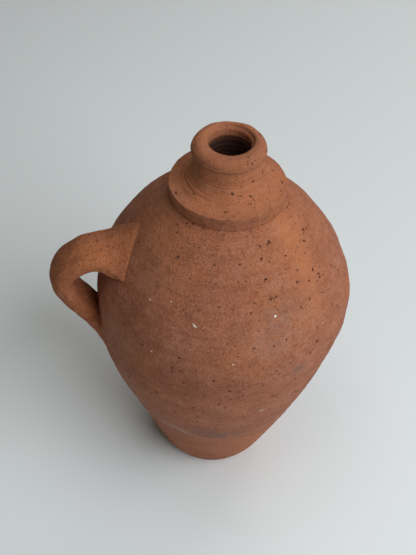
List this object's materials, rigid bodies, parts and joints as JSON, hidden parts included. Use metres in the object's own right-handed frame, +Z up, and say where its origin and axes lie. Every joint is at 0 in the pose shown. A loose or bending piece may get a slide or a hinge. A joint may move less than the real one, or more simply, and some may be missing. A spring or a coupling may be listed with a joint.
{
  "type": "earthenware jug",
  "caption": "Round-bellied unglazed earthenware jug with a small flat foot, stepped collar, narrow round mouth and a small strap handle.",
  "frame": {"origin": "centre of the foot's flat underside", "axes": "+Z up along the jug's axis to the mouth; -X towards the handle; +Y completes a right-handed frame"},
  "size_m": [0.1921, 0.1646, 0.28],
  "materials": {
    "fired_clay": "unglazed, matte, gritty, with throwing lines",
    "trimmed_clay": "unglazed, matte, smoothed by trimming",
    "pulled_clay": "unglazed, matte, hand-wiped"
  },
  "bodies": {
    "root": {"foot_bowl": "trimmed_clay", "belly_section": "fired_clay", "shoulder_section": "fired_clay", "collar_ring": "fired_clay", "neck_section": "fired_clay", "rolled_lip": "fired_clay", "handle_strap": "pulled_clay", "handle_upper_pad": "pulled_clay", "handle_lower_pad": "pulled_clay"}
  },
  "joints": []
}
